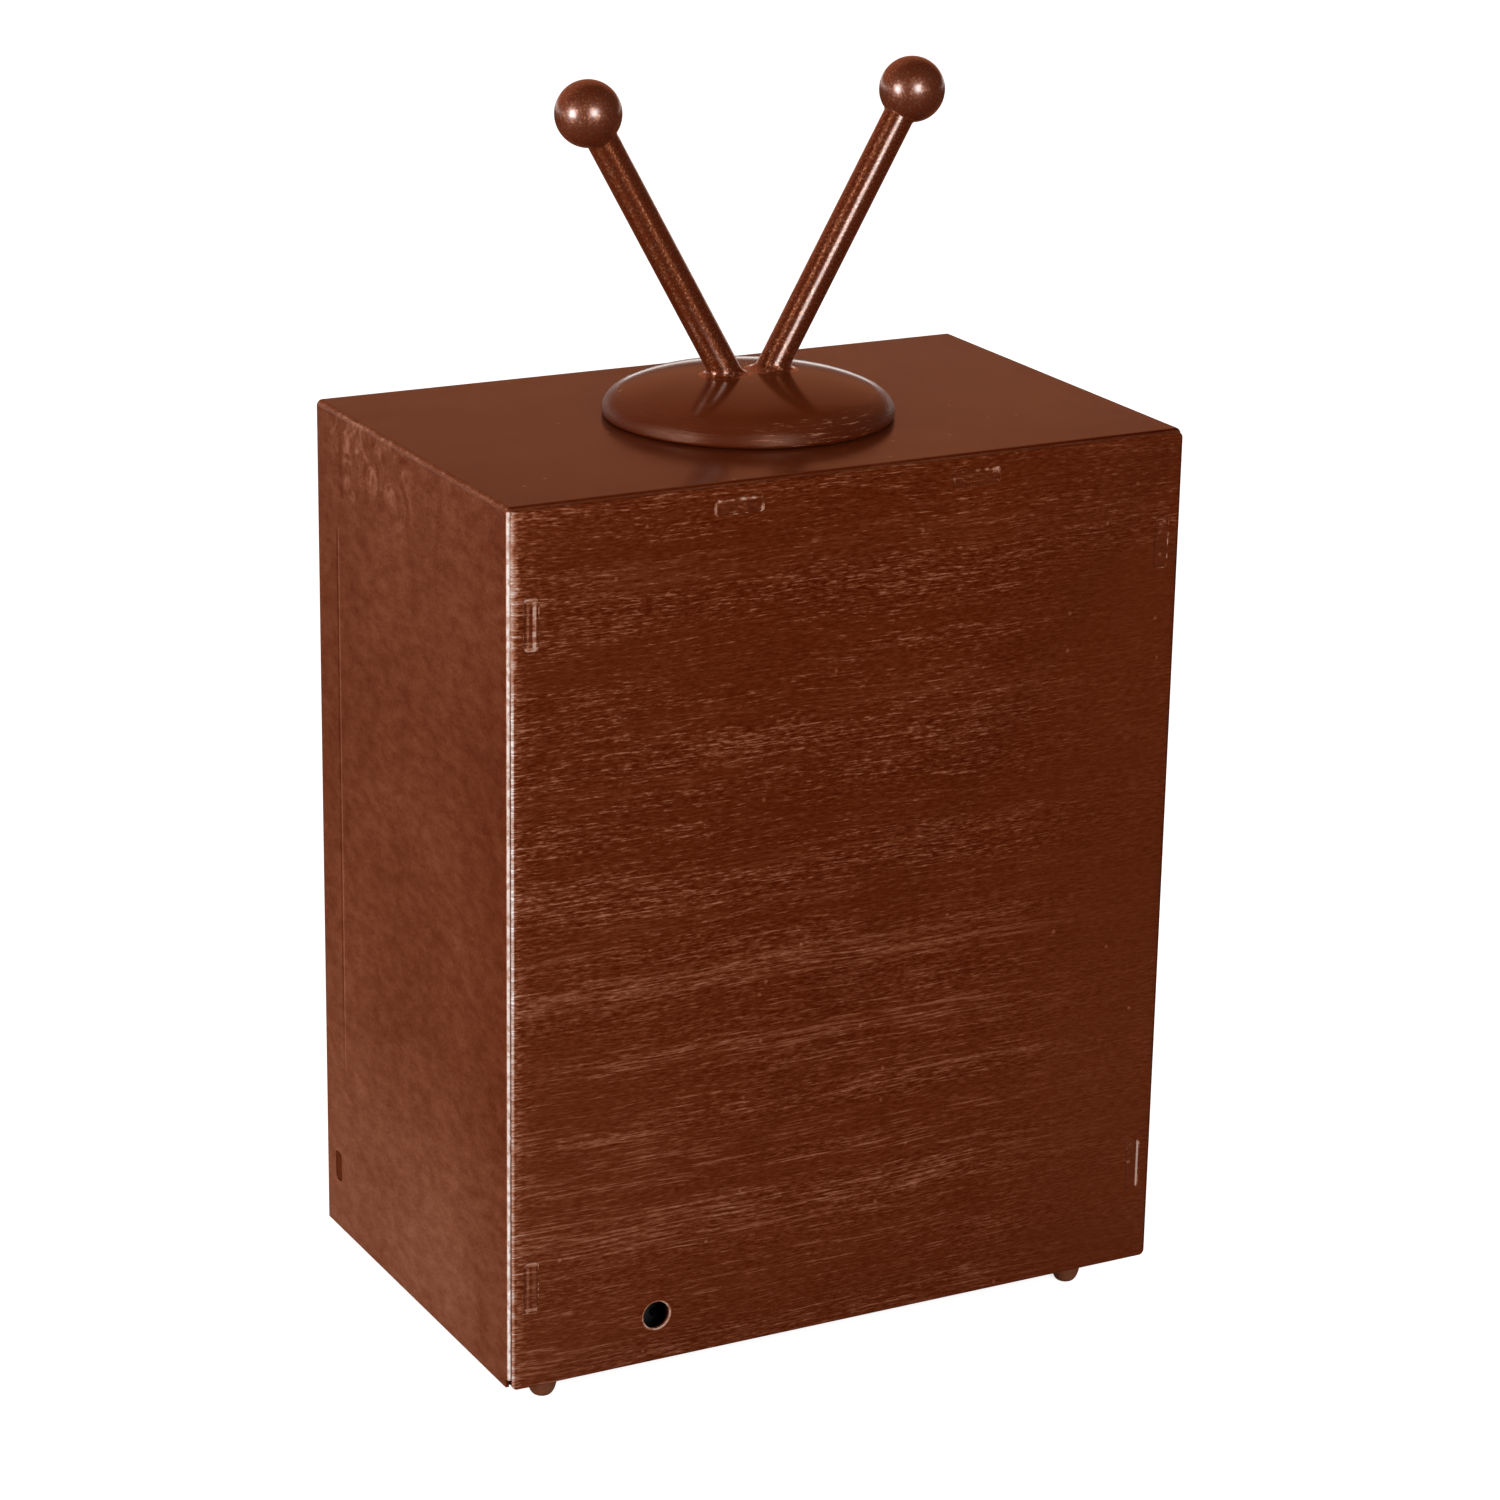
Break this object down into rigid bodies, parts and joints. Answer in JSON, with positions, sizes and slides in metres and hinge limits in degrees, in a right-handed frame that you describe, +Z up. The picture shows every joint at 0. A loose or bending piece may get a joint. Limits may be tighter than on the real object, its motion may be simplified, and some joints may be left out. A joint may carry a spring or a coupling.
{
  "type": "television-shaped table lamp",
  "caption": "Table lamp shaped as an old television: folded steel cabinet with a recessed lit screen, turning knobs, small bumper feet and a domed top plate with leaning aerial rods.",
  "frame": {"origin": "on the table under the middle of the cabinet, level with the undersides of the feet", "axes": "+Z up, the screen looks along -Y, the plain back panel with the cord hole looks along +Y, +X to the right of someone facing the screen"},
  "size_m": [0.247, 0.155, 0.4237],
  "materials": {
    "brown_paint": "satin reddish brown, dry-brushed, rubbed at the edges",
    "brown_gloss": "glossier reddish brown",
    "dark_knob": "dark brown, polished",
    "opal": "cream opal acrylic",
    "opal_glass": "opal, smooth",
    "zinc": "bright zinc",
    "brass": "plain",
    "black_plastic": "moulded",
    "porcelain": "glazed, like porcelain",
    "brown_rubber": "amber brown, cloudy",
    "black_lead": "smooth sleeve",
    "white_lead": "smooth sleeve"
  },
  "bodies": {
    "cabinet": {"cabinet_wrapper": "brown_paint", "back_panel": "brown_paint", "front_panel": "brown_paint", "screen_bezel": "brown_gloss", "screen_pane": "opal", "screen_retainer": "zinc", "retainer_nut_1": "zinc", "retainer_nut_2": "zinc", "retainer_nut_3": "zinc", "retainer_nut_4": "zinc", "base_plate": "brown_paint", "base_angle_right": "zinc", "base_angle_left": "zinc", "base_screw_1": "zinc", "base_screw_2": "zinc", "base_screw_3": "zinc", "base_screw_4": "zinc", "foot_rear_right": "brown_rubber", "foot_rear_left": "brown_rubber", "foot_front_right": "brown_rubber", "foot_front_left": "brown_rubber", "aerial_dome": "brown_gloss", "aerial_stud": "zinc", "aerial_washer": "zinc", "aerial_nut": "zinc", "aerial_rod_right": "brown_gloss", "aerial_rod_left": "brown_gloss", "aerial_ball_right": "brown_gloss", "aerial_ball_left": "brown_gloss", "lamp_bracket": "zinc", "bracket_rivet_1": "zinc", "bracket_rivet_2": "zinc", "lamp_holder": "porcelain", "lamp_holder_nut": "zinc", "bulb_cap": "brass", "bulb_glass": "opal_glass", "switch_case": "black_plastic", "switch_nut": "zinc", "dimmer_case": "black_plastic", "dimmer_nut": "zinc", "terminal_block": "black_plastic", "terminal_block_screw": "zinc", "lead_supply_to_switch": "black_lead", "lead_switch_to_dimmer": "black_lead", "lead_dimmer_to_lamp": "black_lead", "lead_lamp_return": "white_lead"},
    "switch_control": {"switch_spindle": "brass", "switch_knob": "dark_knob"},
    "dimmer_control": {"dimmer_spindle": "brass", "dimmer_knob": "dark_knob"}
  },
  "joints": [
    {"name": "switch_turn", "type": "hinge", "parent": "cabinet", "child": "switch_control", "pos_m": [0.076, -0.0588, 0.0695], "axis": [0, 1, 0], "range_deg": [0, 90]},
    {"name": "dimmer_turn", "type": "hinge", "parent": "cabinet", "child": "dimmer_control", "pos_m": [-0.076, -0.0588, 0.0695], "axis": [0, 1, 0], "range_deg": [-135, 135]}
  ]
}
